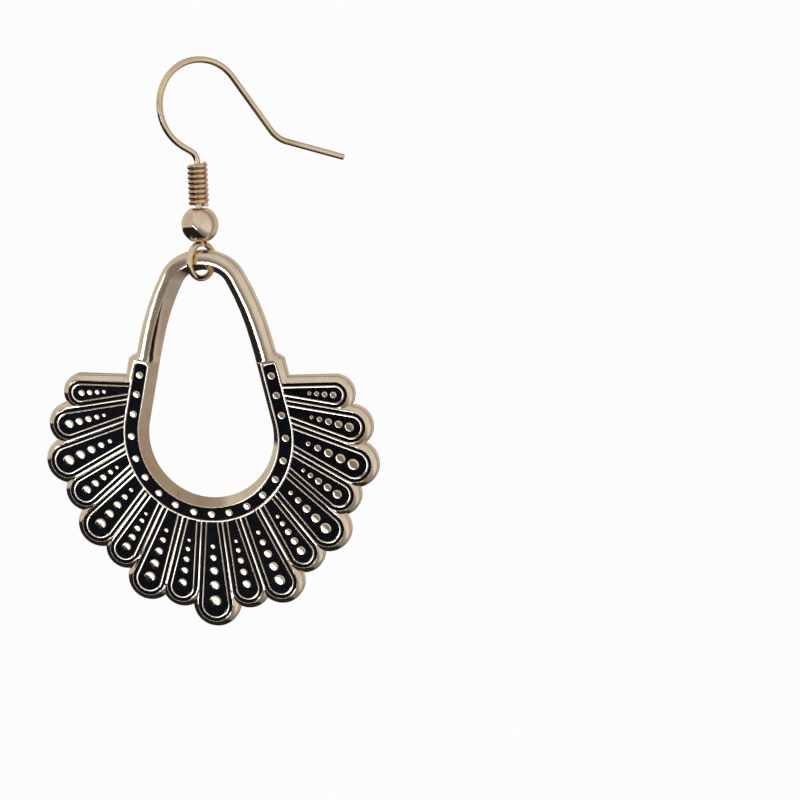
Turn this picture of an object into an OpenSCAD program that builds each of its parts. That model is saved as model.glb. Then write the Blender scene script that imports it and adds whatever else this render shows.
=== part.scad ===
// Dangle earring: fish hook with coil and ball bead, and a flat cast pendant
// whose loop and collar carry a fan of enamelled petals with domed studs.
// Millimetres. +Z is up, the pendant's face looks towards -Y, and the origin
// is where the ear carries the hook: under the top of its arch.

/* [Ear hook] */
// Diameter of the hook's wire
wire_d = 0.58; // [0.5:0.02:0.7]
// Outer diameter of the eye at the hook's lower end
eye_d = 3.8; // [3.7:0.1:4.2]
// Angle of the eye's plane from the pendant's face
eye_turn = 62; // [55:1:75]
// Angle of the arch's plane from the pendant's face
hook_turn = 35; // [0:1:60]
// Length of the straight stem above the eye
stem_h = 7.5; // [7.4:0.1:9]
// Length of the straight tail
tail_h = 6; // [4:0.5:8]

/* [Wire coil] */
// Diameter of the coil's wire
coil_wire_d = 0.44; // [0.36:0.02:0.44]
// Outer diameter of the coil
coil_d = 1.86; // [1.7:0.02:2]
// Number of turns
coil_turns = 8; // [5:0.5:8]
// Height of one turn
coil_pitch = 0.46; // [0.46:0.01:0.47]

/* [Ball bead] */
// Diameter of the bead
ball_d = 3.4; // [3:0.1:3.5]
// Diameter of the hole through the bead
ball_hole_d = 1.44; // [1.4:0.02:1.5]

/* [Pendant] */
// Thickness of the casting
plate_t = 1.3; // [1.2:0.1:1.4]
// Radius of the collar's middle line
collar_r = 7.5; // [7.4:0.1:7.6]
// Lean of the collar's straight limbs from the vertical
collar_lean = 12.5; // [12:0.5:13]
// Length of enamel on each straight limb
collar_limb = 5.5; // [5:0.1:5.6]
// Width of the collar's enamel channel
channel_w = 1.16; // [1.1:0.02:1.2]
// Height of the loop's middle line over the collar's lowest point
loop_h = 24.32; // [24.2:0.02:24.5]
// Width of the loop's front face
loop_w = 0.84; // [0.8:0.02:0.9]
// How far the outer wall flares past the front edge
flare_out = 0.43; // [0.3:0.01:0.45]
// Depth at which the outer wall reaches its widest line
flare_depth = 0.65; // [0.5:0.05:0.8]
// How far the inner wall flares into the opening
flare_in = 0.64; // [0.5:0.01:0.7]
// How much more the loop's shoulders flare inwards
shoulder_flare = 0.14; // [0:0.01:0.15]
// Bevel on the loop's and collar's outer back edge
back_bevel = 0.15; // [0.1:0.01:0.2]

/* [Enamel and metal lines] */
// Width of the metal line in each petal
line_w = 0.17; // [0.14:0.01:0.2]
// Width of the metal line between the collar and the petals
collar_line_w = 0.22; // [0.18:0.01:0.25]
// From a petal's line to the outer edge of its enamel band
band = 0.375; // [0.35:0.005:0.38]
// Width of the metal rim around the petals
rim_w = 0.2; // [0.15:0.01:0.25]
// Depth of the enamel wells
well_depth = 0.35; // [0.3:0.05:0.5]
// Gap between the enamel and the metal
seam = 0.02; // [0.01:0.005:0.03]
// Height of a stud's dome as a share of its diameter
dome_rise = 0.09; // [0.07:0.01:0.12]
// Diameter of the collar's studs
collar_stud_d = 0.74; // [0.6:0.02:0.8]

/* [Hidden] */
petal_count = 17;

// One row for each petal, from the bottom one outwards; the sides are mirrored.
// The tip's centre is measured from the collar's lowest point.
PETALS = [
    // angle, tip x, tip z, tip r, root r, length, stud d, studs, row, row start
    [    0.0,  0.00, -8.96, 1.30,  0.55,   8.05,   1.18,     5,  5.45,      0.35],
    [   11.2,  3.24, -7.24, 1.09,  0.46,   6.60,   0.88,     5,  4.35,      0.40],
    [   21.9,  6.49, -6.53, 1.23,  0.61,   7.00,   1.12,     5,  5.05,      0.20],
    [   32.7,  8.74, -3.59, 1.07,  0.54,   5.60,   0.92,     5,  3.95,      0.25],
    [   43.7, 11.17, -1.24, 1.28,  0.79,   5.80,   1.12,     5,  4.70,      0.15],
    [   54.3, 12.39,  2.11, 1.10,  0.58,   5.15,   0.94,     5,  3.90,      0.15],
    [   65.3, 13.97,  5.05, 1.26,  0.74,   6.10,   1.16,     5,  4.65,      0.10],
    [   75.5, 13.70,  8.63, 1.05,  0.50,   5.95,   0.92,     5,  3.65,      0.10],
    [   86.2, 12.28, 11.69, 0.83,  0.40,   4.45,   0.66,     4,  2.85,      0.10]];
function petal_angle(p) = p[0];
function petal_tip(p) = [p[1], p[2]];
function petal_tip_r(p) = p[3];
function petal_root_r(p) = p[4];
function petal_length(p) = p[5];
function petal_stud_d(p) = p[6];
function petal_studs(p) = p[7];
function petal_stud_row(p) = p[8];
function petal_stud_start(p) = p[9];

// Studs get smaller and closer towards the collar: place along the row, size
STUD_STEPS = [[0, 1], [0.285, 0.85], [0.55, 0.75], [0.79, 0.58], [1, 0.4]];
function step_place(s) = s[0];
function step_size(s) = s[1];
// Places of the collar's studs along its middle line, from the bottom upwards
COLLAR_STUDS = [0, 1.75, 3.65, 5.6, 7.6, 9.6, 11.8, 14, 15.95, 17.85];

// The loop's middle line from its top down to the straight limb, arc by arc
LOOP_ARCS = [
    // radius, direction where it ends
    [ 4.20, 65.0],
    [ 3.02, 29.0],
    [24.50, 14.2]];
function loop_arc_r(n) = LOOP_ARCS[n][0];
function loop_arc_from(n) = n == 0 ? 90 : LOOP_ARCS[n - 1][1];
function loop_arc_to(n) = LOOP_ARCS[n][1];

// The bent wire above the eye, row by row
HOOK_BENDS = [
    // run, radius, turn
    [stem_h,   1.1,   59],
    [   0.8,   4.3,  -84],
    [   0.1,   3.8,  -65],
    [   0.1,   3.8,  -54],
    [   6.1,   3.0,   38],
    [tail_h,     0,    0]];
function bend_run(b) = b[0];
function bend_r(b) = b[1];
function bend_turn(b) = b[2];
arch_top_row = 3; // the wire is level where this row begins

wire_r = wire_d / 2;
bend_wire_r = wire_r - 0.004; // a bent wire is a trace thinner
eye_r = eye_d / 2 - wire_r;
eye_gap = 16; // degrees left open where the eye's end meets the stem
arc_step = 22.5; // degrees between the points of a petal's tip

coil_r = (coil_d - coil_wire_d) / 2;
ball_z = 3.35; // bead's centre over the eye's centre: its hole clears the eye
coil_z = ball_z + sqrt(pow((ball_d + coil_wire_d) / 2 + 0.03, 2) - pow(coil_r, 2));

// Height of the eye's centre over the collar's lowest point: the loop's top
// bar hangs in the middle of the eye
hang_h = 24.15;
// The face stands this far before the eye's centre. The casting is widest at
// its back, and hangs upright like this.
face_y = plate_t / 2 + 0.07;

// Where the wire stands after the first n rows: [x, z, heading]
function wire_at(n) =
    n == 0 ? [0, eye_r, 90] :
    let (s = wire_at(n - 1), b = HOOK_BENDS[n - 1],
         x = s[0] + bend_run(b) * cos(s[2]), z = s[1] + bend_run(b) * sin(s[2]),
         side = sign(bend_turn(b)), r = side * bend_r(b), h = s[2] + bend_turn(b))
    [x + r * (sin(h) - sin(s[2])), z - r * (cos(h) - cos(s[2])), h];

arch_top = wire_at(arch_top_row);
// The ear's seat, from the eye's centre
seat = [arch_top[0] * cos(hook_turn), arch_top[0] * sin(hook_turn), arch_top[1] - wire_r];

// Collar and loop in the pendant's face, from the collar's lowest point. Each
// station is [x, z, outward direction, inner, outer, widest outer, inner at the back].
collar_in = channel_w / 2 + 0.18;
collar_out = channel_w / 2 + collar_line_w + rim_w;
loop_half = loop_w / 2;
arc_end = 90 + collar_lean; // degrees from the bottom to the straight limbs
arc_len = collar_r * arc_end * PI / 180;
cap_s = collar_limb + 0.25; // the metal end past the enamel

// Point on the collar's middle line, by its distance from the bottom, with its direction
function collar_at(s) =
    let (a = min(s, arc_len) / collar_r * 180 / PI - 90, rest = max(0, s - arc_len))
    [collar_r * cos(a) - rest * sin(a), collar_r * (1 + sin(a)) + rest * cos(a), a];
// Point on an arc of the loop, in the direction a from the arc's centre
function loop_arc_centre(n) =
    n == 0 ? [0, loop_h - loop_arc_r(0)] :
    let (a = loop_arc_from(n))
    loop_arc_centre(n - 1) + (loop_arc_r(n - 1) - loop_arc_r(n)) * [cos(a), sin(a)];
function loop_on_arc(n, a) = concat(loop_arc_centre(n) + loop_arc_r(n) * [cos(a), sin(a)], a);
last_arc = len(LOOP_ARCS) - 1;
limb_top = loop_on_arc(last_arc, loop_arc_to(last_arc));
function loop_on_limb(z) =
    [limb_top[0] - (z - limb_top[1]) * tan(limb_top[2]), z, limb_top[2]];

function collar_station(p) =
    concat(p, [collar_in, collar_out, collar_out + flare_out, collar_in + flare_in]);
function loop_station(p) =
    concat(p, [loop_half, loop_half, loop_half + flare_out,
               loop_half + flare_in + shoulder_flare * cos(p[2])]);
// The loop's foot: narrow in front, still as wide as the collar behind
function foot_station(p) =
    concat(p, [loop_half, loop_half, collar_out + flare_out, collar_in + flare_in]);
foot = collar_at(arc_len + cap_s);
HALF = concat(
    [for (i = [1:14]) collar_station(collar_at(i * arc_len / 14))],
    [collar_station(foot)],
    [foot_station(loop_on_limb(foot[1] + 0.06))],
    [loop_station(loop_on_limb(foot[1] + 0.55))],
    [for (n = [last_arc:-1:0], i = [0:3])
        loop_station(loop_on_arc(n, loop_arc_to(n) + i * (loop_arc_from(n) - loop_arc_to(n)) / 4))]);
function mirrored(list) =
    [for (i = [len(list) - 1:-1:0]) let (s = list[i])
        [for (k = [0:len(s) - 1]) k == 0 ? -s[0] : k == 2 ? 180 - s[2] : s[k]]];
FULL = concat(
    [collar_station([0, 0, -90])], HALF, [loop_station([0, loop_h, 90])], mirrored(HALF));
function out_from(s, off) = [s[0] + off * cos(s[2]), s[1] + off * sin(s[2])];

// Middle line of the enamel channel; its ends narrow to round the corners:
// each place is [x, z, direction, narrowing]
function channel_half(clear) = concat(
    [for (i = [1:18]) concat(collar_at(i * arc_len / 18), 0)],
    [for (e = [[0.3, 0], [0.1, 0.08], [0, 0.25]])
        concat(collar_at(arc_len + collar_limb - clear - e[0]), e[1])]);
function channel(clear) =
    concat(mirrored(channel_half(clear)), [[0, 0, -90, 0]], channel_half(clear));

// Outline of a petal, grown from the middle of its metal line
function petal_outline(p, grow) =
    let (a = petal_angle(p), c = petal_tip(p), r = petal_tip_r(p) + grow,
         root = petal_root_r(p) + grow, l = petal_length(p) + 0.8,
         root_r = root - 0.8 * (petal_tip_r(p) - petal_root_r(p)) / petal_length(p))
    concat(
        [[c[0] - l * sin(a) - root_r * cos(a), c[1] + l * cos(a) - root_r * sin(a)]],
        [for (t = [-90:arc_step:90])
            [c[0] + r * sin(a + t), c[1] - r * cos(a + t)]],
        [[c[0] - l * sin(a) + root_r * cos(a), c[1] + l * cos(a) + root_r * sin(a)]]);

// The studs of one petal: [x, z, diameter]
function petal_stud_list(p) =
    let (a = petal_angle(p), c = petal_tip(p))
    [for (i = [0:petal_studs(p) - 1])
        let (d = petal_stud_start(p) + petal_stud_row(p) * step_place(STUD_STEPS[i]))
        [c[0] - d * sin(a), c[1] + d * cos(a),
         petal_stud_d(p) * step_size(STUD_STEPS[i])]];

// The collar's studs: [x, z, diameter]
collar_studs = concat(
    [for (t = COLLAR_STUDS) let (p = collar_at(t)) [p[0], p[1], collar_stud_d]],
    [for (t = COLLAR_STUDS) let (p = collar_at(t)) if (t > 0) [-p[0], p[1], collar_stud_d]]);

// Draws in the pendant's face: 2-D x and y become x and z, from one depth to another
module in_face(front, back) {
    translate([0, back - face_y, -hang_h])
        rotate([90, 0, 0])
            linear_extrude(back - front) children();
}

// A tube of round section: rings of points, one after the other
module tube(rings) {
    n = len(rings[0]);
    m = len(rings);
    polyhedron(
        points = [for (ring = rings, p = ring) p],
        faces = concat(
            [[for (i = [n - 1:-1:0]) i]],
            [[for (i = [0:n - 1]) (m - 1) * n + i]],
            [for (j = [0:m - 2], i = [0:n - 1])
                [j * n + i, j * n + (i + 1) % n, (j + 1) * n + (i + 1) % n, (j + 1) * n + i]]));
}

// The rows of the bent wire from row i on, drawn upwards from the current point
module bent_wire(i) {
    b = HOOK_BENDS[i];
    run = bend_run(b);
    r = bend_r(b);
    turn = bend_turn(b);
    side = sign(turn);
    if (run > 0) cylinder(r = wire_r, h = run, $fn = 32);
    if (r > 0) {
        translate([-side * r, 0, run]) {
            rotate([90, 0, side > 0 ? 0 : 180]) rotate([0, 0, -1])
                rotate_extrude(angle = abs(turn) + 2, $fn = 96)
                    translate([r, 0]) circle(r = bend_wire_r, $fn = 32);
            if (i < len(HOOK_BENDS) - 1)
                rotate([0, -turn, 0]) translate([side * r, 0, 0]) bent_wire(i + 1);
        }
    }
}

module ear_hook() {
    color([0.72, 0.62, 0.42]) translate(-seat) {
        rotate([0, 0, hook_turn]) translate([0, 0, eye_r]) bent_wire(0);
        rotate([90, 0, eye_turn]) rotate([0, 0, 90])
            rotate_extrude(angle = 360 - eye_gap, $fn = 96)
                translate([eye_r, 0]) circle(r = bend_wire_r, $fn = 32);
    }
}

module wire_coil() {
    steps = 11;
    sides = 6;
    color([0.74, 0.64, 0.45]) translate([0, 0, coil_z] - seat)
        tube([for (j = [0:coil_turns * steps])
            let (a = hook_turn + j * 360 / steps)
            [for (k = [0:sides - 1])
                let (t = k * 360 / sides, q = coil_r + coil_wire_d / 2 * cos(t))
                [q * cos(a), q * sin(a),
                 j * coil_pitch / steps + coil_wire_d / 2 * sin(t)]]]);
}

module ball_bead() {
    color([0.62, 0.58, 0.5]) translate([0, 0, ball_z] - seat)
        difference() {
            sphere(d = ball_d, $fn = 64);
            translate([0, 0, -ball_d]) cylinder(d = ball_hole_d, h = 2 * ball_d, $fn = 32);
        }
}

// Collar and loop: a closed frame with flared walls, swept along its stations
module collar_and_loop() {
    front = -face_y;
    back = plate_t - face_y;
    function section(s) = [
        for (q = [[-s[3], front], [s[4], front], [s[5], front + flare_depth],
                  [s[5], back - back_bevel], [s[5] - back_bevel, back], [-s[6], back]])
            let (o = out_from(s, q[0])) [o[0], q[1], o[1]]];
    n = 6;
    m = len(FULL);
    translate([0, 0, -hang_h])
        polyhedron(
            points = [for (s = FULL, p = section(s)) p],
            faces = [for (j = [0:m - 1], i = [0:n - 1])
                [j * n + (i + 1) % n, j * n + i,
                 ((j + 1) % m) * n + i, ((j + 1) % m) * n + (i + 1) % n]]);
}

module petal_body(p) {
    edge = band + rim_w;
    hull() {
        in_face(0, 0.05) polygon(petal_outline(p, edge));
        in_face(flare_depth, plate_t) polygon(petal_outline(p, edge + flare_out));
    }
}

module channel_outline(clear) {
    line = channel(clear);
    half = channel_w / 2 - clear;
    polygon(concat(
        [for (s = line) out_from(s, half - s[3])],
        [for (i = [len(line) - 1:-1:0]) out_from(line[i], line[i][3] - half)]));
}

// Everything inside the collar's outer line, where no petal's enamel reaches
module inside_collar(clear) {
    off = channel_w / 2 + collar_line_w + clear;
    polygon([for (s = FULL) if (s[1] < foot[1] + 0.01) out_from(s, off)]);
}

// One petal's enamel, drawn in the face: the field inside the line and the band around it
module petal_cells(p, clear) {
    difference() {
        union() {
            polygon(petal_outline(p, -line_w / 2 - clear));
            difference() {
                polygon(petal_outline(p, band - clear));
                polygon(petal_outline(p, line_w / 2 + clear));
            }
        }
        inside_collar(clear);
    }
}

function stud_sides(d) = d > 0.7 ? 8 : 6;

module stud(s) {
    sides = stud_sides(s[2]);
    r = s[2] / 2;
    translate([s[0], -face_y, s[1] - hang_h]) rotate([90, 0, 0]) {
        translate([0, 0, -well_depth - 0.1]) cylinder(r = r, h = well_depth + 0.1, $fn = sides);
        cylinder(r1 = r, r2 = r * 0.8, h = s[2] * dome_rise, $fn = sides);
    }
}

module both_sides(k) {
    children();
    if (k > 0) mirror([1, 0, 0]) children();
}

module pendant_frame() {
    color([0.78, 0.7, 0.58]) translate(-seat) {
        difference() {
            union() {
                collar_and_loop();
                for (k = [0:len(PETALS) - 1]) both_sides(k) petal_body(PETALS[k]);
            }
            in_face(-0.1, well_depth) channel_outline(0);
            for (k = [0:len(PETALS) - 1])
                both_sides(k) in_face(-0.1, well_depth) petal_cells(PETALS[k], 0);
        }
        for (s = collar_studs) stud(s);
        for (k = [0:len(PETALS) - 1], s = petal_stud_list(PETALS[k]))
            both_sides(k) stud(s);
    }
}

module stud_holes(studs) {
    for (s = studs) translate([s[0], s[1]]) circle(r = s[2] / 2 + seam, $fn = stud_sides(s[2]));
}

module collar_enamel() {
    color([0.05, 0.05, 0.07]) translate(-seat)
        in_face(0, well_depth - seam) difference() {
            channel_outline(seam);
            stud_holes(collar_studs);
        }
}

// Petal 1 is the upper left one; the numbers run round the bottom to the right
module petal_enamel(i) {
    k = i - (petal_count + 1) / 2;
    p = PETALS[abs(k)];
    color([0.04, 0.04, 0.06]) translate(-seat) mirror([k < 0 ? 1 : 0, 0, 0])
        in_face(0, well_depth - seam) difference() {
            petal_cells(p, seam);
            stud_holes(petal_stud_list(p));
        }
}

ear_hook();
wire_coil();
ball_bead();
pendant_frame();
collar_enamel();
for (i = [1:petal_count])
    petal_enamel(i);
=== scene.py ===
import math

import bmesh
import bpy
from mathutils import Matrix, Vector


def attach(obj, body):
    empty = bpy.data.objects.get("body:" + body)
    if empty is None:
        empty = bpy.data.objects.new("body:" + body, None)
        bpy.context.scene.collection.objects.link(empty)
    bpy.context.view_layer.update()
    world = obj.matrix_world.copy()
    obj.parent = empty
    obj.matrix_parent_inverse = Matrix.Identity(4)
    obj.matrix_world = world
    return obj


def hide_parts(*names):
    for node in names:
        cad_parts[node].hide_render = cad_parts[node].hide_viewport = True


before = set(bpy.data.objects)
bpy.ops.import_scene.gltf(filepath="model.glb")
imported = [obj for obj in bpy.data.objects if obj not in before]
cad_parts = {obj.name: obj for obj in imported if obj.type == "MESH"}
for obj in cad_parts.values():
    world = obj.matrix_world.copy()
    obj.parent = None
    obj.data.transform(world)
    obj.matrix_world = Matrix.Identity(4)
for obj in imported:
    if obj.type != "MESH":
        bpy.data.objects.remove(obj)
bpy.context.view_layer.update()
print("frame loaded")

# Pieces are modelled in millimetres and brought to metres when they are placed. The hook's
# places are measured from the middle of its eye. The pendant's are x to the right, y back
# from its face and z up from the lowest stud of its collar.
mm = 0.001
eyeAt = Vector((-0.4789, -0.3353, -17.9627))
pendantAt = eyeAt + Vector((0, -0.72, -24.15))
facing = 0.99       # how much of a level face's normal points straight forwards or back
sameCorner = 0.003  # corners this near are one
farOut = 20         # how far out the corners of a new ring wait until they are moved
noMove = 1e-4       # a shorter move is left out


# Modelling helpers

def clearSelection():
    if bpy.context.mode != "OBJECT":
        bpy.ops.object.mode_set(mode="OBJECT")
    bpy.ops.object.select_all(action="DESELECT")


def makeActive(obj):
    clearSelection()
    obj.select_set(True)
    bpy.context.view_layer.objects.active = obj


def pickVerts(obj, test):
    bpy.ops.mesh.select_mode(type="VERT")
    bpy.ops.mesh.select_all(action="DESELECT")
    bm = bmesh.from_edit_mesh(obj.data)
    for v in bm.verts:
        if test(v.co):
            v.select_set(True)
    bm.select_flush_mode()
    bmesh.update_edit_mesh(obj.data)


def pickFaces(obj, test):
    bpy.ops.mesh.select_mode(type="FACE")
    bpy.ops.mesh.select_all(action="DESELECT")
    bm = bmesh.from_edit_mesh(obj.data)
    for f in bm.faces:
        if test(f):
            f.select_set(True)
    bmesh.update_edit_mesh(obj.data)


def pickEdges(obj, test):
    bpy.ops.mesh.select_mode(type="EDGE")
    bpy.ops.mesh.select_all(action="DESELECT")
    bm = bmesh.from_edit_mesh(obj.data)
    for e in bm.edges:
        if test(e):
            e.select_set(True)
    bmesh.update_edit_mesh(obj.data)


def extrudeBy(move):
    bpy.ops.mesh.extrude_region_move(TRANSFORM_OT_translate={"value": tuple(move)})


def spinBy(degrees, steps, centre, axis):
    # the tool turns clockwise for a positive angle
    bpy.ops.mesh.spin(steps=steps, angle=-math.radians(degrees), center=tuple(centre), axis=tuple(axis))


def closeEnds():
    # the open ends of a swept tube get a face each
    bpy.ops.mesh.select_mode(type="EDGE")
    bpy.ops.mesh.select_all(action="DESELECT")
    bpy.ops.mesh.select_non_manifold()
    bpy.ops.mesh.fill_holes(sides=0)


def outwards():
    bpy.ops.mesh.select_all(action="SELECT")
    bpy.ops.mesh.normals_make_consistent(inside=False)


def applyModifier(obj, name, kind, **values):
    modifier = obj.modifiers.new(name, kind)
    for key, value in values.items():
        setattr(modifier, key, value)
    makeActive(obj)
    bpy.ops.object.modifier_apply(modifier=name)


def shape(obj, other, operation):
    applyModifier(obj, "shape", "BOOLEAN", operation=operation, solver="MANIFOLD", object=other)
    bpy.data.objects.remove(other)


def smooth(obj, degrees):
    # round faces shade smooth and edges sharper than this stay crisp
    makeActive(obj)
    bpy.ops.object.shade_smooth_by_angle(angle=math.radians(degrees))


def joined(objs):
    clearSelection()
    for obj in objs:
        obj.select_set(True)
    bpy.context.view_layer.objects.active = objs[0]
    bpy.ops.object.join()
    return bpy.context.object


def place(obj, name, at, body, slot, *nodes):
    makeActive(obj)
    obj.name = name
    obj.data.name = name
    obj.location = at * mm
    obj.scale = (mm, mm, mm)
    bpy.ops.object.transform_apply(location=True, rotation=True, scale=True)
    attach(obj, body)
    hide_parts(*nodes)
    return obj


# Camera: a long lens from the right and a little above
cameraView = {
    "at": Vector((40.64, -140.13, 38.87)),  # from the lowest stud of the collar
    "turn": 9.0,
    "tilt": 11.06,
    "roll": 1.28,
    "lens": 70.65,
    "sensor": 36,
    "clip": (0.001, 10),
    "pendantDrop": 0.15,  # the pendant hangs this much lower than in the photograph
}


def addCamera():
    turn = math.radians(cameraView["turn"])
    tilt = math.radians(cameraView["tilt"])
    roll = math.radians(cameraView["roll"])
    right = Vector((math.cos(turn), math.sin(turn), 0))
    back = Vector((math.sin(turn) * math.cos(tilt), -math.cos(turn) * math.cos(tilt), math.sin(tilt)))
    up = back.cross(right)
    rolledRight = math.cos(roll) * right - math.sin(roll) * up
    rolledUp = math.sin(roll) * right + math.cos(roll) * up
    bpy.ops.object.camera_add()
    camera = bpy.context.object
    camera.name = "camera"
    turnMatrix = Matrix((rolledRight, rolledUp, back)).transposed().to_4x4()
    at = pendantAt + cameraView["at"] + Vector((0, 0, cameraView["pendantDrop"]))
    camera.matrix_world = Matrix.Translation(at * mm) @ turnMatrix
    camera.data.sensor_width = cameraView["sensor"]
    camera.data.lens = cameraView["lens"]
    camera.data.clip_start, camera.data.clip_end = cameraView["clip"]
    bpy.context.scene.camera = camera


addCamera()
print("camera set")


# Ear hook: one bent wire, with its eye
hook = {
    "wireR": 0.29,
    "sides": 24,
    "turn": 35,       # plane of the arch
    "eyeTurn": 62,    # plane of the eye
    "eyeR": 1.61,
    "eyeGap": 16,
    "eyeSteps": 80,
    "eyeThinner": 0.004,      # so that its end is hidden in the stem
    "degPerStep": 5,
    "endEase": (0.06, 0.8),   # the tail's last stretch, and what is left of its width
    "sharp": 40,
    # rows of the bent wire: run, radius, turn
    "bends": [
        (7.5, 1.1, 59), (0.8, 4.3, -84), (0.1, 3.8, -65), (0.1, 3.8, -54), (6.1, 3.0, 38), (5.94, 0, 0),
    ],
}


def uprightPlane(degrees):
    # the level way along it, and the axis that turns leftwards in it
    a = math.radians(degrees)
    return Vector((math.cos(a), math.sin(a), 0)), Vector((math.sin(a), -math.cos(a), 0))


def makeHook():
    wireR = hook["wireR"]
    bpy.ops.mesh.primitive_circle_add(vertices=hook["sides"], radius=wireR, location=(0, 0, hook["eyeR"]))
    wire = bpy.context.object
    bpy.ops.object.transform_apply(location=True)
    bpy.ops.object.mode_set(mode="EDIT")
    x, z, heading = 0, hook["eyeR"], 90
    side, axis = uprightPlane(hook["turn"])
    bpy.ops.mesh.select_all(action="SELECT")
    for run, radius, turn in hook["bends"]:
        h = math.radians(heading)
        extrudeBy((side * math.cos(h) + Vector((0, 0, math.sin(h)))) * run)
        x += run * math.cos(h)
        z += run * math.sin(h)
        if radius:
            s = 1 if turn > 0 else -1
            cx = x - s * radius * math.sin(h)
            cz = z + s * radius * math.cos(h)
            spinBy(turn, round(abs(turn) / hook["degPerStep"]), side * cx + Vector((0, 0, cz)), axis)
            heading += turn
            h = math.radians(heading)
            x = cx + s * radius * math.sin(h)
            z = cz - s * radius * math.cos(h)
    # the tail's end is eased
    stretch, k = hook["endEase"]
    h = math.radians(heading)
    along = side * math.cos(h) + Vector((0, 0, math.sin(h)))
    extrudeBy(along * stretch)
    end = side * x + Vector((0, 0, z)) + along * stretch
    bpy.ops.transform.resize(value=(k, k, k), center_override=end)
    closeEnds()
    outwards()
    bpy.ops.object.mode_set(mode="OBJECT")

    # the eye, from the stem round to its small gap
    side, axis = uprightPlane(hook["eyeTurn"])
    bpy.ops.mesh.primitive_circle_add(
        vertices=hook["sides"], radius=wireR - hook["eyeThinner"], location=(0, 0, hook["eyeR"]),
        rotation=(0, math.pi / 2, math.radians(hook["eyeTurn"])))
    ring = bpy.context.object
    bpy.ops.object.transform_apply(location=True, rotation=True)
    bpy.ops.object.mode_set(mode="EDIT")
    bpy.ops.mesh.select_all(action="SELECT")
    spinBy(360 - hook["eyeGap"], hook["eyeSteps"], (0, 0, 0), axis)
    closeEnds()
    outwards()
    bpy.ops.object.mode_set(mode="OBJECT")
    obj = joined([wire, ring])
    smooth(obj, hook["sharp"])
    return place(obj, "hookWire", eyeAt, "hook", "hook_metal", "ear_hook")


hookWire = makeHook()
print("hook made")


# Coil of thin wire around the stem
coil = {
    "wireR": 0.226,
    "sides": 16,
    "meanR": 0.71,
    "pitch": 0.46,
    "turns": 8,
    "stepsPerTurn": 40,
    "merge": 0.0005,
    "bottom": 5.17,   # over the eye's middle
    "start": 35,
    "sharp": 50,
}


def makeCoil():
    bpy.ops.mesh.primitive_circle_add(
        vertices=coil["sides"], radius=coil["wireR"], location=(coil["meanR"], 0, 0),
        rotation=(math.pi / 2, 0, 0))
    obj = bpy.context.object
    bpy.ops.object.transform_apply(location=True, rotation=True)
    applyModifier(
        obj, "wind", "SCREW", axis="Z", angle=2 * math.pi, screw_offset=coil["pitch"],
        iterations=coil["turns"], steps=coil["stepsPerTurn"], render_steps=coil["stepsPerTurn"],
        use_merge_vertices=False)
    bpy.ops.object.mode_set(mode="EDIT")
    bpy.ops.mesh.select_all(action="SELECT")
    bpy.ops.mesh.remove_doubles(threshold=coil["merge"])
    closeEnds()
    outwards()
    bpy.ops.object.mode_set(mode="OBJECT")
    obj.rotation_euler = (0, 0, math.radians(coil["start"]))
    bpy.ops.object.transform_apply(rotation=True)
    smooth(obj, coil["sharp"])
    at = eyeAt + Vector((0, 0, coil["bottom"]))
    return place(obj, "stemCoil", at, "hook", "hook_metal", "wire_coil")


stemCoil = makeCoil()


# Ball bead with a through hole
ball = {
    "r": 1.7,
    "segments": 64,
    "rings": 48,
    "holeR": 0.72,
    "open": 0.95,     # what is cut away at the poles, as a share of the hole
    "rim": 1.12,      # the rim's next ring lies within this share
    "z": 3.35,        # over the eye's middle
    "edge": 0.06,
    "edgeAngle": 0.7,
    "edgeSegments": 3,
    "sharp": 35,
}


def makeBall():
    bpy.ops.mesh.primitive_uv_sphere_add(
        segments=ball["segments"], ring_count=ball["rings"], radius=ball["r"])
    obj = bpy.context.object
    bpy.ops.object.mode_set(mode="EDIT")
    pickVerts(obj, lambda p: math.hypot(p.x, p.y) < ball["holeR"] * ball["open"])
    bpy.ops.mesh.delete(type="VERT")
    # both rims are drawn to the hole's true radius
    for side in (1, -1):
        pickVerts(obj, lambda p: p.z * side > 0 and math.hypot(p.x, p.y) < ball["holeR"] * ball["rim"])
        bm = bmesh.from_edit_mesh(obj.data)
        rim = [v for v in bm.verts if v.select]
        low = min(math.hypot(v.co.x, v.co.y) for v in rim)
        pickVerts(obj, lambda p: p.z * side > 0 and math.hypot(p.x, p.y) < low + sameCorner)
        grow = ball["holeR"] / low
        bpy.ops.transform.resize(value=(grow, grow, 1))
    bpy.ops.mesh.select_mode(type="EDGE")
    bpy.ops.mesh.select_all(action="DESELECT")
    bpy.ops.mesh.select_non_manifold()
    bpy.ops.mesh.bridge_edge_loops()
    outwards()
    pickEdges(obj, lambda e: len(e.link_faces) == 2 and e.calc_face_angle() > ball["edgeAngle"])
    bpy.ops.mesh.bevel(offset=ball["edge"], segments=ball["edgeSegments"], affect="EDGES")
    bpy.ops.object.mode_set(mode="OBJECT")
    smooth(obj, ball["sharp"])
    at = eyeAt + Vector((0, 0, ball["z"]))
    return place(obj, "beadBall", at, "hook", "pendant_metal", "ball_bead")


beadBall = makeBall()
print("coil and bead made")


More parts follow.
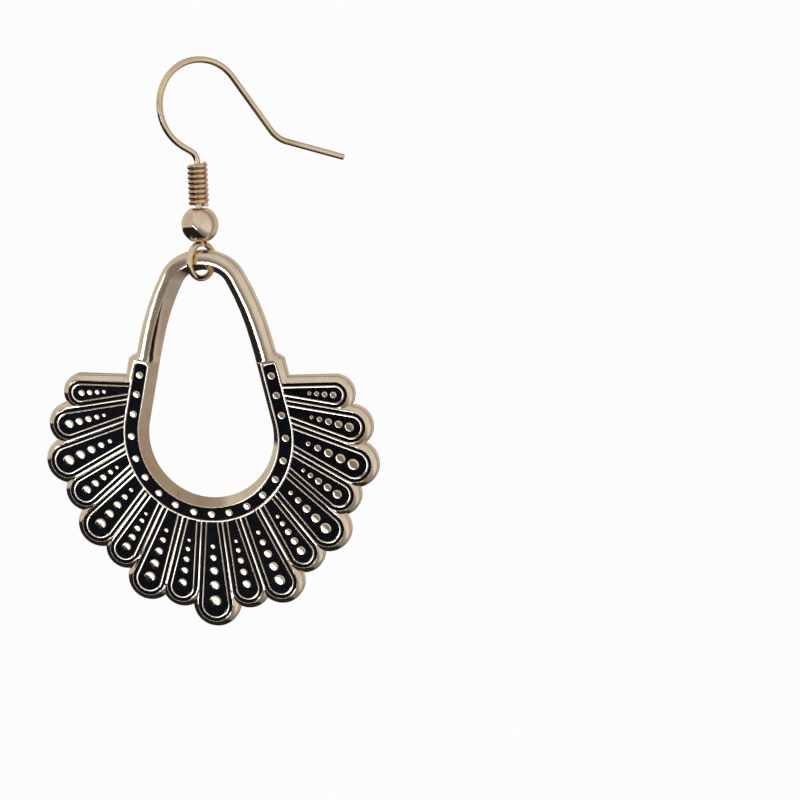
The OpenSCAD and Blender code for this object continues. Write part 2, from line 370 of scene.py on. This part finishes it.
# Pendant: petals, collar and loop as one casting
casting = {
    "back": 1.3,
    "backEdge": 0.12,
    "line": 0.2,       # metal line in a petal
    "band": 0.375,     # from the line's middle to its band's outer edge
    "rim": 0.2,
    "well": 0.34,
    "tipSides": 64,
    "underCollar": 0.8,       # the wells' cutters run on this far, and the collar covers it
    "web": (0.4, 0.3),        # metal beside a short petal: depth, how far in from its tip
    # the outer wall from its widest line to the rim: inwards, forwards
    "wall": [(0.02, 0.15), (0.06, 0.15), (0.1, 0.13), (0.13, 0.12), (0.12, 0.06)],
    "fall": (0.2, 0.03),      # the rim falls away outwards: its width, how much
    # an eased edge, from the face down: away from the wall, depth
    "ease": [(0.095, 0), (0.05, 0.0025), (0.02, 0.007), (0.006, 0.018), (0, 0.038)],
    "above": (0.12, -0.004),  # where a cutter for an eased edge starts
    "lid": 0.001,             # and how thick its top is
    "mirrorMerge": 0.002,
    "crown": 0.125,           # how much the loop's face falls a millimetre from its highest line
    "crownAt": 0.02,          # how far that line lies outside the middle
    "merge": 0.0003,
    "sharp": 40,
}
flare = sum(inset for inset, rise in casting["wall"])
edgeGrow = casting["band"] + casting["rim"]

# angle, tip x, tip z, tip radius, root radius, length, stud size, studs, row, row start
petals = [
    (0.0, 0.00, -8.96, 1.30, 0.55, 8.05, 1.18, 5, 5.45, 0.35),
    (11.2, 3.24, -7.24, 1.09, 0.46, 6.60, 0.88, 5, 4.35, 0.40),
    (21.9, 6.49, -6.53, 1.23, 0.61, 7.00, 1.12, 5, 5.05, 0.20),
    (32.7, 8.74, -3.59, 1.07, 0.54, 5.60, 0.92, 5, 3.95, 0.25),
    (43.7, 11.17, -1.24, 1.28, 0.79, 5.80, 1.12, 5, 4.70, 0.15),
    (54.3, 12.39, 2.11, 1.10, 0.58, 5.15, 0.94, 5, 3.90, 0.15),
    (65.3, 13.97, 5.05, 1.26, 0.74, 6.10, 1.16, 5, 4.65, 0.10),
    (75.5, 13.70, 8.63, 1.05, 0.50, 5.95, 0.92, 5, 3.65, 0.10),
    (86.2, 12.28, 11.69, 0.83, 0.40, 4.45, 0.66, 4, 2.85, 0.10),
]
petalSides = [(p, s) for p in petals for s in (1, -1) if s == 1 or p[0] > 0]


def petalOutline(petal, side, grow, depth, past=0):
    angle, tipX, tipZ, tipR, rootR, length = petal[:6]
    a = math.radians(angle) * side
    tip = Vector((tipX * side, depth, tipZ))
    bpy.ops.mesh.primitive_circle_add(
        vertices=casting["tipSides"], radius=tipR + grow, fill_type="NGON", location=tip,
        rotation=(math.pi / 2, -a, 0))
    obj = bpy.context.object
    bpy.ops.object.transform_apply(location=True, rotation=True)
    bpy.ops.object.mode_set(mode="EDIT")
    # the inner half of the circle becomes the petal's narrower root, under the collar
    inward = Vector((-math.sin(a), 0, math.cos(a)))
    reach = length + past
    endR = tipR - (tipR - rootR) * reach / length
    pickVerts(obj, lambda p: (p - tip).dot(inward) > sameCorner)
    bpy.ops.transform.translate(value=inward * reach)
    k = (endR + grow) / (tipR + grow)
    bpy.ops.transform.resize(value=(k, 1, k), center_override=tip + inward * reach)
    bpy.ops.mesh.select_mode(type="FACE")
    bpy.ops.mesh.select_all(action="SELECT")
    return obj


def petalShell(petal, side):
    obj = petalOutline(petal, side, edgeGrow + flare, casting["back"] - casting["backEdge"])
    steps = casting["wall"] + [casting["fall"]]
    straight = casting["back"] - casting["backEdge"] - sum(rise for inset, rise in steps)
    extrudeBy((0, -straight, 0))
    outwards()
    pickFaces(obj, lambda f: f.normal.y < -facing)
    for inset, rise in steps:
        bpy.ops.mesh.inset(thickness=inset, depth=rise)
    pickFaces(obj, lambda f: f.normal.y > facing)
    bpy.ops.mesh.inset(thickness=casting["backEdge"], depth=casting["backEdge"])
    outwards()
    bpy.ops.object.mode_set(mode="OBJECT")
    return obj


def petalWeb(petal, side):
    # flat metal that fills the gap between a short petal and its neighbours
    angle, tipX, tipZ, tipR, rootR, length = petal[:6]
    depth, start = casting["web"]
    a = math.radians(angle) * side
    tip = Vector((tipX * side, depth, tipZ))
    inward = Vector((-math.sin(a), 0, math.cos(a)))
    across = Vector((math.cos(a), 0, math.sin(a)))
    corners = []
    for along, turn in ((start, 1), (length, -1)):
        half = tipR - (tipR - rootR) * along / length + edgeGrow
        for way in (-turn, turn):
            corners.append(tip + inward * along + across * half * way)
    bpy.ops.mesh.primitive_circle_add(vertices=4, radius=2 * farOut, fill_type="NGON")
    obj = bpy.context.object
    bpy.ops.object.mode_set(mode="EDIT")
    moveCorners(obj, [v.co.copy() for v in bmesh.from_edit_mesh(obj.data).verts], corners)
    bpy.ops.mesh.select_all(action="SELECT")
    extrudeBy((0, -depth, 0))
    outwards()
    bpy.ops.object.mode_set(mode="OBJECT")
    return obj


def sinkWell(obj):
    # a thin plate becomes a cutter whose wall narrows over the eased edge of the well
    extrudeBy((0, casting["lid"], 0))
    outwards()
    pickFaces(obj, lambda f: f.normal.y > facing)
    out, depth = casting["above"]
    depth += casting["lid"]
    for nextOut, nextDepth in casting["ease"]:
        bpy.ops.mesh.inset(thickness=out - nextOut, depth=nextDepth - depth)
        out, depth = nextOut, nextDepth
    extrudeBy((0, casting["well"] - depth, 0))
    bpy.ops.object.mode_set(mode="OBJECT")
    return obj


def wellCutters(petal, side):
    half = casting["line"] / 2
    out, depth = casting["above"]
    past = casting["underCollar"]
    field = sinkWell(petalOutline(petal, side, out - half, depth, past))
    ring = petalOutline(petal, side, casting["band"] + out, depth, past)
    bpy.ops.mesh.inset(thickness=casting["band"] - half + 2 * out)
    bpy.ops.mesh.delete(type="FACE")
    bpy.ops.mesh.select_all(action="SELECT")
    return [field, sinkWell(ring)]


collar = {
    "r": 7.5,
    "lean": 12.5,
    "steps": 41,
    "limb": 5.75,            # metal past the enamel
    "enamelLimb": 5.5,
    "halfChannel": 0.58,
    "channelEnd": (0.12, 0.78, 0.004),  # length it narrows over, share of its width left, lean
    "line": 0.8,             # outer edge of the line between collar and petals
    # the disc that keeps the petals' wells outside that line
    "discSides": 144,
    "discFoot": 1,              # below every well
    "discRise": 8,              # how far its upper corners go up along the limbs
    "pastTurn": 0.05,           # corners this far above the end of its arc are moved up
    "discTop": (0.14, -0.06),   # where its eased edge starts: away from its wall, depth
}
loop = {
    "top": 24.32,
    "arcs": [(4.2, 65), (3.02, 29), (24.5, 14.2)],  # from the top down: radius, direction where it ends
    "degPerStep": 3.5,
    "innerBack": (1.06, 0.14),    # its inner edge at the back: at the top, and more beside it
    "lowBack": (0.085, 0.0057),   # and more at the low end, less this much for each degree above it
}
# height over the collar's limb, then half widths: inner and outer edge of the face, widest
# outside, inner edge at the back; and how much of the face's crown there is
shoulder = [
    (0.05, 0.68, 0.74, 1.42, 1.31, 0),
    (0.10, 0.49, 0.44, 1.38, 1.305, 0.7),
    (0.25, 0.47, 0.42, 1.24, 1.30, 1),
    (0.40, 0.46, 0.42, 1.04, 1.295, 1),
    (0.55, 0.45, 0.42, 0.90, 1.29, 1),
    (0.75, 0.45, 0.42, 0.85, 1.28, 1),
]
collarWidths = (0.76, 0.87, 1.43, 1.40, 0)
wallShape = {
    "innerEase": 0.8,              # its eased edge is this much as wide as a well's
    "innerBackEdge": (0.05, 0.06),
    "faceShares": (0.2, 0.4, 0.6, 0.8, 1),
    "innerShares": (0.66, 0.33),
}


def wallSection(inner, outer, widest, innerBack, crown):
    # places across the middle line and back from the face: over the face, down the outer
    # wall and back up the inner one
    back = casting["back"]
    edge = casting["backEdge"]
    innerEdge, innerDrop = wallShape["innerBackEdge"]

    def faceAt(u):
        return crown * casting["crown"] * (u - casting["crownAt"]) ** 2

    points = []
    for away, deep in reversed(casting["ease"][:-1]):
        u = -inner + away * wallShape["innerEase"]
        points.append((u, faceAt(u) + deep))
    start = points[-1][0]
    for share in wallShape["faceShares"]:
        u = start + (outer - start) * share
        points.append((u, faceAt(u)))
    d = 0
    for inset, rise in reversed(casting["wall"]):
        u += inset * (widest - outer) / flare
        d += rise
        points.append((u, d))
    points += [(u, back - edge), (u - edge, back)]
    points += [(-innerBack + innerEdge, back), (-innerBack, back - innerDrop)]
    for share in wallShape["innerShares"]:
        points.append((-inner - (innerBack - inner) * share, (back - innerDrop) * share))
    return points


def pointing(direction):
    a = math.radians(direction)
    return Vector((math.cos(a), 0, math.sin(a)))


def cornersAt(middle, direction, section):
    return [middle + pointing(direction) * u + Vector((0, d, 0)) for u, d in section]


def moveCorners(obj, old, new):
    for start, end in zip(old, new):
        if (end - start).length > noMove:
            pickVerts(obj, lambda p: (p - start).length < sameCorner)
            bpy.ops.transform.translate(value=end - start)
    pickVerts(obj, lambda p: any((p - end).length < sameCorner for end in new))


def startSection(section):
    # an open ring of corners at the lowest point of the collar
    bpy.ops.mesh.primitive_circle_add(vertices=len(section), radius=farOut)
    obj = bpy.context.object
    bpy.ops.object.mode_set(mode="EDIT")
    ring = [v.co.copy() for v in bmesh.from_edit_mesh(obj.data).verts]
    moveCorners(obj, ring, cornersAt(Vector(), -90, section))
    spinBy(-90 - collar["lean"], collar["steps"], (0, 0, collar["r"]), (0, 1, 0))
    return obj


def mirrorHalf(obj):
    bpy.ops.object.mode_set(mode="OBJECT")
    applyModifier(obj, "mirror", "MIRROR", use_axis=(True, False, False),
                  merge_threshold=casting["mirrorMerge"])
    bpy.ops.object.mode_set(mode="EDIT")
    outwards()
    bpy.ops.object.mode_set(mode="OBJECT")
    return obj


def collarTop():
    out = pointing(collar["lean"])
    return Vector((0, 0, collar["r"])) + out * collar["r"], Vector((-out.z, 0, out.x))


def makeCollarAndLoop():
    section = wallSection(*collarWidths)
    obj = startSection(section)
    foot, up = collarTop()
    extrudeBy(up * collar["limb"])
    foot = foot + up * collar["limb"]
    old = cornersAt(foot, collar["lean"], section)
    # centres of the loop's arcs, from the top down
    arcs = []
    centre, before, since = Vector((0, 0, loop["top"])), 0, 90
    for radius, until in loop["arcs"]:
        centre = centre + pointing(since) * (before - radius)
        arcs.append((centre.copy(), radius, since, until))
        before, since = radius, until
    limbTop = centre + pointing(since) * before
    # the face narrows over the end of the enamel and the wall steps in to the loop
    side = pointing(since)
    climb = Vector((-side.z, 0, side.x))
    for rise, *widths in shoulder:
        onLimb = limbTop + climb * (foot.z + rise - limbTop.z) / climb.z
        section = wallSection(*widths)
        new = cornersAt(onLimb, since, section)
        lift = new[0] - old[0]
        extrudeBy(lift)
        moveCorners(obj, [corner + lift for corner in old], new)
        old = new
    extrudeBy(limbTop - onLimb)
    inner, outer, widest, innerBack, crown = widths
    atTop, beside = loop["innerBack"]
    atLow, perDegree = loop["lowBack"]
    lowEnd = loop["arcs"][-1][1]
    for centre, radius, upper, lower in reversed(arcs):
        steps = round((upper - lower) / loop["degPerStep"])
        for i in range(steps):
            spinBy((lower - upper) / steps, 1, centre, (0, 1, 0))
            # the back of the inner wall draws in towards the top
            direction = lower + (upper - lower) * (i + 1) / steps
            middle = centre + pointing(direction) * radius
            old = cornersAt(middle, direction, section)
            innerBack = atTop + beside * math.cos(math.radians(direction))
            innerBack += max(0, atLow - perDegree * (direction - lowEnd))
            section = wallSection(inner, outer, widest, innerBack, crown)
            moveCorners(obj, old, cornersAt(middle, direction, section))
    return mirrorHalf(obj)


def channelCutter():
    h = collar["halfChannel"]
    wall = [casting["above"]] + casting["ease"] + [(0, casting["well"])]
    obj = startSection([(h + out, depth) for out, depth in wall]
                       + [(-h - out, depth) for out, depth in reversed(wall)])
    foot, up = collarTop()
    stretch, k, lean = collar["channelEnd"]
    extrudeBy(up * (collar["enamelLimb"] - stretch))
    extrudeBy(up * stretch)
    end = foot + up * collar["enamelLimb"]
    bpy.ops.transform.resize(value=(k, 1, k), center_override=end)
    # its floor comes up to the same eased edge at the end
    out, top = casting["above"]
    last, depth = -lean, casting["well"]
    for away, deep in reversed([(out, top + casting["lid"])] + casting["ease"]):
        extrudeBy(up * (away - last))
        bpy.ops.transform.resize(value=(1, (deep - top) / (depth - top), 1), center_override=(0, top, 0))
        last, depth = away, deep
    bpy.ops.mesh.edge_face_add()
    return mirrorHalf(obj)


def collarDisc():
    # all that lies inside the line between collar and petals
    lean = math.radians(collar["lean"])
    rise = collar["discRise"]
    foot = collar["discFoot"]
    r = collar["r"] + collar["line"]
    bpy.ops.mesh.primitive_circle_add(
        vertices=collar["discSides"], radius=r, fill_type="NGON", location=(0, foot, collar["r"]),
        rotation=(math.pi / 2, 0, 0))
    obj = bpy.context.object
    bpy.ops.object.transform_apply(location=True, rotation=True)
    bpy.ops.object.mode_set(mode="EDIT")
    turnZ = collar["r"] + r * math.sin(lean)
    pickVerts(obj, lambda p: p.z > turnZ + collar["pastTurn"])
    bpy.ops.transform.translate(value=(0, 0, rise * math.cos(lean)))
    k = 1 - rise * math.sin(lean) / (r * math.cos(lean))
    bpy.ops.transform.resize(value=(k, 1, 1), center_override=(0, 0, 0))
    bpy.ops.mesh.select_all(action="SELECT")
    # its top edge is eased like a well's
    last, depth = casting["ease"][-1]
    extrudeBy((0, depth - foot, 0))
    outwards()
    pickFaces(obj, lambda f: f.normal.y < -facing)
    for away, deep in reversed([collar["discTop"]] + casting["ease"][:-1]):
        bpy.ops.mesh.inset(thickness=away - last, depth=depth - deep)
        last, depth = away, deep
    bpy.ops.object.mode_set(mode="OBJECT")
    return obj


studs = {
    "steps": [(0, 1), (0.285, 0.85), (0.55, 0.75), (0.79, 0.58), (1, 0.4)],  # place in the row, size
    "collar": [0, 1.75, 3.65, 5.6, 7.6, 9.6, 11.8, 14, 15.95, 17.85],
    "collarSize": 0.74,
    "sides": 28,
    "sunk": 0.5,   # its foot stands this deep in the metal under the enamel, for a radius of one
    # from its edge to its middle, for a radius of one: inwards, upwards
    "crown": [
        (0.03, 0.07), (0.05, 0.05), (0.06, 0.03), (0.08, 0.018), (0.1, 0.009), (0.28, 0.004),
        (0.25, 0.001),
    ],
}


def studPlaces():
    places = []
    for (angle, x, z, tipR, rootR, length, size, count, row, start), side in petalSides:
        a = math.radians(angle)
        for along, share in studs["steps"][:count]:
            d = start + row * along
            places.append(((x - d * math.sin(a)) * side, z + d * math.cos(a), size * share))
    arc = collar["r"] * math.radians(90 + collar["lean"])
    for s in studs["collar"]:
        a = min(s, arc) / collar["r"]
        rest = max(0, s - arc)
        x = collar["r"] * math.sin(a) + rest * math.cos(a)
        z = collar["r"] * (1 - math.cos(a)) + rest * math.sin(a)
        for side in ((1, -1) if s else (1,)):
            places.append((x * side, z, studs["collarSize"]))
    return places


def makeStuds():
    # one low domed stud, then a copy for each place
    bpy.ops.mesh.primitive_circle_add(
        vertices=studs["sides"], radius=1, fill_type="NGON", location=(0, studs["sunk"], 0),
        rotation=(math.pi / 2, 0, 0))
    master = bpy.context.object
    bpy.ops.object.transform_apply(location=True, rotation=True)
    bpy.ops.object.mode_set(mode="EDIT")
    bpy.ops.mesh.select_all(action="SELECT")
    extrudeBy((0, -studs["sunk"], 0))
    outwards()
    pickFaces(master, lambda f: f.normal.y < -facing)
    for inset, rise in studs["crown"]:
        bpy.ops.mesh.inset(thickness=inset, depth=rise)
    bpy.ops.object.mode_set(mode="OBJECT")
    copies = []
    for x, z, size in studPlaces():
        makeActive(master)
        bpy.ops.object.duplicate()
        copy = bpy.context.object
        copy.scale = (size / 2, size / 2, size / 2)
        copy.location = (x, 0, z)
        bpy.ops.object.transform_apply(location=True, scale=True)
        copies.append(copy)
    bpy.data.objects.remove(master)
    return joined(copies)


def makePendant():
    body = None
    for petal, side in petalSides:
        shell = petalShell(petal, side)
        if body is None:
            body = shell
        else:
            shape(body, shell, "UNION")
    # every second petal is a short one
    for petal, side in petalSides:
        if petal in petals[1::2]:
            shape(body, petalWeb(petal, side), "UNION")
    print("petals joined")
    shape(body, makeCollarAndLoop(), "UNION")
    cutters = None
    for petal, side in petalSides:
        for cutter in wellCutters(petal, side):
            if cutters is None:
                cutters = cutter
            else:
                shape(cutters, cutter, "UNION")
    shape(cutters, collarDisc(), "DIFFERENCE")
    # small faces, so that none is left with a well inside its outline
    makeActive(body)
    bpy.ops.object.mode_set(mode="EDIT")
    bpy.ops.mesh.select_all(action="SELECT")
    bpy.ops.mesh.quads_convert_to_tris(ngon_method="BEAUTY")
    bpy.ops.object.mode_set(mode="OBJECT")
    shape(body, cutters, "DIFFERENCE")
    shape(body, channelCutter(), "DIFFERENCE")
    # slivers that the cuts leave between level faces
    makeActive(body)
    bpy.ops.object.mode_set(mode="EDIT")
    bpy.ops.mesh.select_all(action="SELECT")
    bpy.ops.mesh.remove_doubles(threshold=casting["merge"])
    bpy.ops.mesh.dissolve_degenerate(threshold=casting["merge"])
    bpy.ops.object.mode_set(mode="OBJECT")
    print("wells cut")
    pendant = joined([body, makeStuds()])
    smooth(pendant, casting["sharp"])
    applyModifier(pendant, "flatFaces", "WEIGHTED_NORMAL", keep_sharp=True)
    return place(pendant, "pendantCasting", pendantAt, "pendant", "pendant_metal", "pendant_frame")


pendantCasting = makePendant()
print("pendant made")


# Finishes

def newMaterial(name):
    material = bpy.data.materials.new(name)
    material.use_nodes = True
    tree = material.node_tree
    return material, tree.nodes, tree.links, tree.nodes["Principled BSDF"]


def grey(value):
    return value, value, value, 1


def ranged(nodes, links, value, start, full):
    # from 0 at its start to 1 where it is full
    node = nodes.new("ShaderNodeMapRange")
    node.inputs["From Min"].default_value = start
    node.inputs["From Max"].default_value = full
    links.new(value, node.inputs["Value"])
    return node


def product(nodes, links, first, second):
    node = nodes.new("ShaderNodeMath")
    node.operation = "MULTIPLY"
    links.new(first, node.inputs[0])
    links.new(second, node.inputs[1])
    return node.outputs[0]


def mixColors(nodes, links, share, first, second):
    mix = nodes.new("ShaderNodeMix")
    mix.data_type = "RGBA"
    links.new(share, mix.inputs["Factor"])
    # its two colour sockets
    links.new(first, mix.inputs[6])
    links.new(second, mix.inputs[7])
    return mix.outputs[2]


def addSockets(group, way, colors, numbers):
    for name in colors:
        group.interface.new_socket(name, in_out=way, socket_type="NodeSocketColor")
    for name in numbers:
        group.interface.new_socket(name, in_out=way, socket_type="NodeSocketFloat")


worn = {
    "mottleDetail": 4,
    "fineDetail": 2,
    "finer": 5,               # the fine unevenness is this much smaller than the mottling
    "tarnish": (0.42, 0.68),  # where in the mottling it starts and is full
    "polish": (0.35, 0.65),   # from smooth to rough
    "bumpDepth": 0.00001,
}


def wornSurface():
    # mottling of colour, polish and a fine uneven surface, for metal and enamel
    group = bpy.data.node_groups.new("wornSurface", "ShaderNodeTree")
    addSockets(group, "INPUT", ("Color", "Tarnish"), ("Amount", "Scale", "Smooth", "Rough"))
    addSockets(group, "OUTPUT", ("Color",), ("Roughness", "Height"))
    nodes, links = group.nodes, group.links
    given = nodes.new("NodeGroupInput").outputs
    result = nodes.new("NodeGroupOutput").inputs
    where = nodes.new("ShaderNodeTexCoord")
    mottle = nodes.new("ShaderNodeTexNoise")
    mottle.inputs["Detail"].default_value = worn["mottleDetail"]
    links.new(where.outputs["Object"], mottle.inputs["Vector"])
    links.new(given["Scale"], mottle.inputs["Scale"])
    fine = nodes.new("ShaderNodeTexNoise")
    fine.inputs["Detail"].default_value = worn["fineDetail"]
    finer = nodes.new("ShaderNodeMath")
    finer.operation = "MULTIPLY"
    finer.inputs[1].default_value = worn["finer"]
    links.new(given["Scale"], finer.inputs[0])
    links.new(where.outputs["Object"], fine.inputs["Vector"])
    links.new(finer.outputs[0], fine.inputs["Scale"])
    mask = ranged(nodes, links, mottle.outputs["Fac"], *worn["tarnish"])
    much = product(nodes, links, mask.outputs["Result"], given["Amount"])
    links.new(mixColors(nodes, links, much, given["Color"], given["Tarnish"]), result["Color"])
    rough = ranged(nodes, links, fine.outputs["Fac"], *worn["polish"])
    links.new(given["Smooth"], rough.inputs["To Min"])
    links.new(given["Rough"], rough.inputs["To Max"])
    links.new(rough.outputs["Result"], result["Roughness"])
    links.new(fine.outputs["Fac"], result["Height"])
    return group


surfaceGroup = wornSurface()


def finish(name, look):
    material, nodes, links, shader = newMaterial(name)
    group = nodes.new("ShaderNodeGroup")
    group.node_tree = surfaceGroup
    group.inputs["Color"].default_value = (*look["color"], 1)
    group.inputs["Tarnish"].default_value = (*look["tarnish"], 1)
    group.inputs["Amount"].default_value = look["amount"]
    group.inputs["Scale"].default_value = look["scale"]
    group.inputs["Smooth"].default_value = look["smooth"]
    group.inputs["Rough"].default_value = look["rough"]
    bump = nodes.new("ShaderNodeBump")
    bump.inputs["Strength"].default_value = look["bump"]
    bump.inputs["Distance"].default_value = worn["bumpDepth"]
    links.new(group.outputs["Color"], shader.inputs["Base Color"])
    links.new(group.outputs["Roughness"], shader.inputs["Roughness"])
    links.new(group.outputs["Height"], bump.inputs["Height"])
    links.new(bump.outputs["Normal"], shader.inputs["Normal"])
    shader.inputs["Metallic"].default_value = look["metallic"]
    shader.inputs["Specular IOR Level"].default_value = look["specular"]
    return material


pendantMetal = {
    "color": (0.85, 0.71, 0.54), "tarnish": (0.66, 0.5, 0.35), "amount": 0.5, "scale": 500,
    "smooth": 0.05, "rough": 0.075, "bump": 0.008, "metallic": 1, "specular": 0.5,
}
hookMetal = {
    "color": (0.87, 0.68, 0.45), "tarnish": (0.5, 0.34, 0.19), "amount": 0.6, "scale": 300,
    "smooth": 0.08, "rough": 0.13, "bump": 0.03, "metallic": 1, "specular": 0.5,
}
coilMetal = {
    "color": (0.8, 0.6, 0.42), "tarnish": (0.5, 0.27, 0.15), "amount": 0.6, "scale": 700,
    "smooth": 0.1, "rough": 0.16, "bump": 0.03, "metallic": 1, "specular": 0.5,
}
blackEnamel = {
    "color": (0.003, 0.003, 0.004), "tarnish": (0.006, 0.007, 0.015), "amount": 0.9, "scale": 900,
    "smooth": 0.15, "rough": 0.25, "bump": 0.04, "metallic": 0, "specular": 0.025,
}


def paint(obj, material):
    obj.data.materials.clear()
    obj.data.materials.append(material)


pendantFinish = finish("pendantPlating", pendantMetal)
paint(pendantCasting, pendantFinish)
paint(beadBall, pendantFinish)
paint(hookWire, finish("hookPlating", hookMetal))
paint(stemCoil, finish("coilPlating", coilMetal))
enamelFinish = finish("enamel", blackEnamel)
for name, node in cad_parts.items():
    if "enamel" in name:
        paint(node, enamelFinish)
print("finishes on")


# Studio: white paper under and behind, as the camera sees it. The metal mirrors a room that is
# dark at the lower left, with a bright strip along the edge of the dark part in front.
studio = {
    "paper": 0.975,              # how bright the camera sees it
    "floor": {"size": 4, "height": -0.075, "color": 0.8, "rough": 0.9},
    "strength": 6.5,             # of the room's light on the earring
    "side": (0.707, 0, 0.707),   # towards the light, at the upper right
    "greenLoss": 0.5,            # green falls this much as fast as blue on a warm wall
    # for each wall: place towards that side, brightness, warmth, which is cool below zero
    "front": [
        (-1.0, 0.003, 0), (-0.413, 0.003, 0), (-0.407, 0.7, -0.3), (-0.352, 0.7, -0.3),
        (-0.335, 0.038, 0.0), (-0.265, 0.036, 0.15), (-0.22, 0.065, 0.1), (-0.18, 0.075, 0.05),
        (-0.1, 0.11, 0.03), (0.25, 0.118, 0.03), (0.4, 0.11, 0.03), (1.0, 0.1, 0.03),
    ],
    # past the end of the bright strip, at the lower right
    "stripEnd": {"side": (0.707, 0, -0.707), "from": 0.2, "full": 0.28},
    "frontRight": [
        (-1.0, 0.003, 0), (-0.5, 0.003, 0), (-0.42, 0.03, 0.1), (-0.3, 0.04, 0.1), (-0.1, 0.055, 0.05),
        (0.05, 0.1, 0.03), (0.25, 0.13, 0.03), (0.4, 0.125, 0.03), (1.0, 0.11, 0.03),
    ],
    # beside the earring, and far behind it: how far back each starts and is full
    "beside": (0.02, 0.15),
    "back": [
        (-1.0, 0.003, 0), (-0.52, 0.004, 0), (-0.42, 0.03, 0.1), (-0.2, 0.045, 0.1), (0.1, 0.06, 0.05),
        (0.3, 0.062, 0.15), (0.5, 0.057, 0.25), (1.0, 0.06, 0.3),
    ],
    "farBehind": (0.35, 0.6),
    "far": [
        (-1.0, 0.003, 0), (-0.52, 0.004, 0), (-0.42, 0.018, 0.1), (-0.2, 0.028, 0.1), (0.0, 0.075, 0.05),
        (0.2, 0.095, 0.1), (1.0, 0.095, 0.15),
    ],
    # a pale wall at the left: where it starts and where it is full, to the left, back and up
    "leftWall": {"color": (0.1, 0.098, 0.09), "from": (-0.42, -0.9, -0.19), "full": (-0.52, -0.8, -0.15)},
}


def towards(nodes, links, where, side, start, full):
    # from 0 to 1 as a direction turns to a side of the room
    part = nodes.new("ShaderNodeVectorMath")
    part.operation = "DOT_PRODUCT"
    part.inputs[1].default_value = side
    links.new(where.outputs["Generated"], part.inputs[0])
    return ranged(nodes, links, part.outputs["Value"], start, full).outputs["Result"]


def wallRamp(nodes, links, spread, stops):
    # stops go from -1 to 1, and the ramp's own places from 0 to 1
    ramp = nodes.new("ShaderNodeValToRGB")
    elements = ramp.color_ramp.elements
    elements.remove(elements[1])
    for i, (t, value, warm) in enumerate(stops):
        spot = (t + 1) / 2
        element = elements[0] if i == 0 else elements.new(spot)
        element.position = spot
        element.color = (value, value * (1 - studio["greenLoss"] * warm), value * (1 - warm), 1)
    links.new(spread, ramp.inputs["Fac"])
    return ramp.outputs["Color"]


def addFloor():
    look = studio["floor"]
    clearSelection()
    bpy.ops.mesh.primitive_plane_add(size=look["size"], location=(0, 0, look["height"]))
    floor = bpy.context.object
    floor.name = "floor"
    material, nodes, links, shader = newMaterial("paper")
    shader.inputs["Base Color"].default_value = grey(look["color"])
    shader.inputs["Roughness"].default_value = look["rough"]
    glow = nodes.new("ShaderNodeEmission")
    glow.inputs["Color"].default_value = grey(studio["paper"])
    path = nodes.new("ShaderNodeLightPath")
    mix = nodes.new("ShaderNodeMixShader")
    links.new(path.outputs["Is Camera Ray"], mix.inputs["Fac"])
    links.new(shader.outputs["BSDF"], mix.inputs[1])
    links.new(glow.outputs["Emission"], mix.inputs[2])
    links.new(mix.outputs["Shader"], nodes["Material Output"].inputs["Surface"])
    paint(floor, material)
    floor.visible_glossy = False
    floor.visible_diffuse = False


def mirroredRoom(nodes, links):
    where = nodes.new("ShaderNodeTexCoord")
    spread = towards(nodes, links, where, studio["side"], -1, 1)
    front = wallRamp(nodes, links, spread, studio["front"])
    frontRight = wallRamp(nodes, links, spread, studio["frontRight"])
    back = wallRamp(nodes, links, spread, studio["back"])
    far = wallRamp(nodes, links, spread, studio["far"])
    end = studio["stripEnd"]
    past = towards(nodes, links, where, end["side"], end["from"], end["full"])
    beside = towards(nodes, links, where, (0, 1, 0), *studio["beside"])
    behind = towards(nodes, links, where, (0, 1, 0), *studio["farBehind"])
    around = mixColors(nodes, links, past, front, frontRight)
    around = mixColors(nodes, links, beside, around, back)
    around = mixColors(nodes, links, behind, around, far)
    wall = studio["leftWall"]
    left, deep, high = [
        towards(nodes, links, where, axis, start, full)
        for axis, start, full in zip(((1, 0, 0), (0, 1, 0), (0, 0, 1)), wall["from"], wall["full"])]
    share = product(nodes, links, product(nodes, links, left, deep), high)
    paleWall = nodes.new("ShaderNodeRGB").outputs[0]
    paleWall.default_value = (*wall["color"], 1)
    return mixColors(nodes, links, share, around, paleWall)


def addRoom():
    world = bpy.data.worlds.new("studio")
    bpy.context.scene.world = world
    world.use_nodes = True
    nodes, links = world.node_tree.nodes, world.node_tree.links
    nodes.clear()
    seen = nodes.new("ShaderNodeBackground")
    seen.inputs["Color"].default_value = grey(studio["paper"])
    room = nodes.new("ShaderNodeBackground")
    links.new(mirroredRoom(nodes, links), room.inputs["Color"])
    room.inputs["Strength"].default_value = studio["strength"]
    path = nodes.new("ShaderNodeLightPath")
    mix = nodes.new("ShaderNodeMixShader")
    links.new(path.outputs["Is Camera Ray"], mix.inputs["Fac"])
    links.new(room.outputs["Background"], mix.inputs[1])
    links.new(seen.outputs["Background"], mix.inputs[2])
    out = nodes.new("ShaderNodeOutputWorld")
    links.new(mix.outputs["Shader"], out.inputs["Surface"])


addFloor()
addRoom()
bpy.context.scene.view_settings.view_transform = "Standard"
print("studio set")
